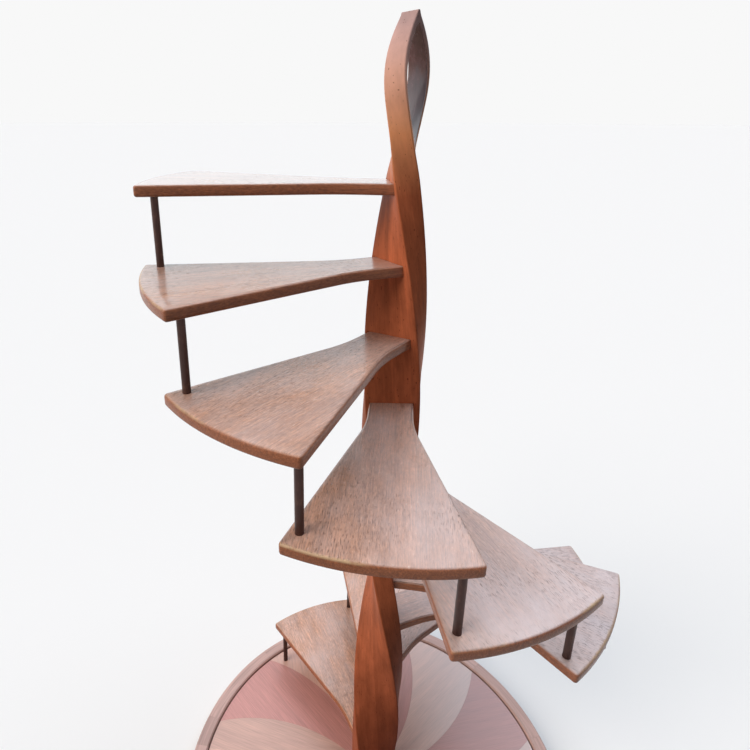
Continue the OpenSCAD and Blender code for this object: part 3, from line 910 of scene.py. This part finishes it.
def floor_paper():
    # Matt white paper: even and without gloss, and it keeps the model's shadow
    made, tree = start_material("paper_matt_white", Roughness=1.0, Specular_IOR_Level=0.0)
    # where it isn't seen it is dark, so that it throws little light up at the model
    tones = {0: seen_rays(tree), 6: linear("#3c3c3c"), 7: linear("#f1f1ee")}
    tone = node(tree, "ShaderNodeMix", tones, data_type="RGBA").outputs[2]
    return finish_material(made, tone)


class StairStage(bpy.types.Operator):
    """Sets the floor, the light, the background and the camera"""

    bl_idname = "stair.stage"
    bl_label = "Stage"

    def execute(self, context):
        p = context.scene.stair_stage
        scene = context.scene
        add = bpy.ops.mesh.primitive_circle_add
        floor = start_piece("floor", add, vertices=96, radius=FLOOR_REACH, fill_type="NGON")
        bpy.ops.object.mode_set(mode="OBJECT")
        floor.data.materials.append(floor_paper())
        world = bpy.data.worlds.new("studio")
        world.use_nodes = True
        scene.world = world
        tree = world.node_tree
        plain = tree.nodes["Background"]
        plain.inputs["Color"].default_value = linear("#f8f8f8")
        plain.inputs["Strength"].default_value = 0.1
        shown = node(tree, "ShaderNodeBackground", {"Color": tuple(p.backdrop), "Strength": 1.0})
        both = node(tree, "ShaderNodeMixShader", {0: seen_rays(tree), 1: plain.outputs[0], 2: shown.outputs[0]})
        tree.links.new(both.outputs[0], tree.nodes["World Output"].inputs["Surface"])
        # name, tint, strength, spread in degrees and direction of the light
        lamps = (
            ("key_left", "#fff2e6", 1.35, 36, (0.8, 0.75, -1.0)),
            ("low_left", "#fff2e6", 1.5, 40, (1.0, 0.42, -0.2)),
            ("soft_above", "#ecf2ff", 2.25, 70, (-0.15, -0.4, -1.2)),
            ("window_behind", "#bcecff", 0.4, 50, (0.25, -1.0, -0.27)),
        )
        for name, tint, energy, spread, towards in lamps:
            lamp = bpy.data.objects.new(name, bpy.data.lights.new(name, "SUN"))
            lamp.data.color = linear(tint)[:3]
            lamp.data.energy = energy
            lamp.data.angle = math.radians(spread)
            lamp.rotation_euler = Vector(towards).to_track_quat("-Z", "Y").to_euler()
            scene.collection.objects.link(lamp)
        scene.view_settings.view_transform = "Standard"
        camera = bpy.data.objects.new("camera", bpy.data.cameras.new("camera"))
        scene.collection.objects.link(camera)
        scene.camera = camera
        camera.data.sensor_width = SENSOR
        camera.data.lens = p.lens
        camera.data.shift_x = p.shift_x
        camera.data.shift_y = p.shift_y
        camera.data.clip_start = 10 * MM
        level = math.cos(p.pitch)
        ahead = Vector((-math.sin(p.yaw) * level, math.cos(p.yaw) * level, -math.sin(p.pitch)))
        right = Vector((math.cos(p.yaw), math.sin(p.yaw), 0))
        up = right.cross(ahead)
        side = math.cos(p.roll) * right + math.sin(p.roll) * up
        above = -math.sin(p.roll) * right + math.cos(p.roll) * up
        frame_axes = Matrix((side, above, -ahead)).transposed().to_4x4()
        camera.matrix_world = Matrix.Translation((p.camera_x, p.camera_y, p.camera_z)) @ frame_axes
        return {"FINISHED"}


class StairPanel(bpy.types.Panel):
    """Lists the pieces of the staircase model"""

    bl_idname = "VIEW3D_PT_staircase"
    bl_label = "Staircase"
    bl_space_type = "VIEW_3D"
    bl_region_type = "UI"
    bl_category = "Staircase"

    def draw(self, context):
        for operator in OPERATORS:
            self.layout.operator(operator.bl_idname)


SETTINGS = {
    "stair_treads": StairTreadSettings,
    "stair_post": StairPostSettings,
    "stair_base": StairBaseSettings,
    "stair_stage": StairStageSettings,
}
OPERATORS = (StairTreads, StairPost, StairBase, StairRods, StairStage)


def register():
    for group in SETTINGS.values():
        bpy.utils.register_class(group)
    for name, group in SETTINGS.items():
        setattr(bpy.types.Scene, name, bpy.props.PointerProperty(type=group))
    for made in OPERATORS + (StairPanel,):
        bpy.utils.register_class(made)


def unregister():
    for made in (StairPanel,) + OPERATORS[::-1]:
        bpy.utils.unregister_class(made)
    for name in SETTINGS:
        delattr(bpy.types.Scene, name)
    for group in SETTINGS.values():
        bpy.utils.unregister_class(group)


def main():
    register()
    bpy.ops.stair.treads()
    bpy.ops.stair.post()
    bpy.ops.stair.base()
    bpy.ops.stair.rods()
    bpy.ops.stair.stage()


if __name__ == "__main__":
    main()
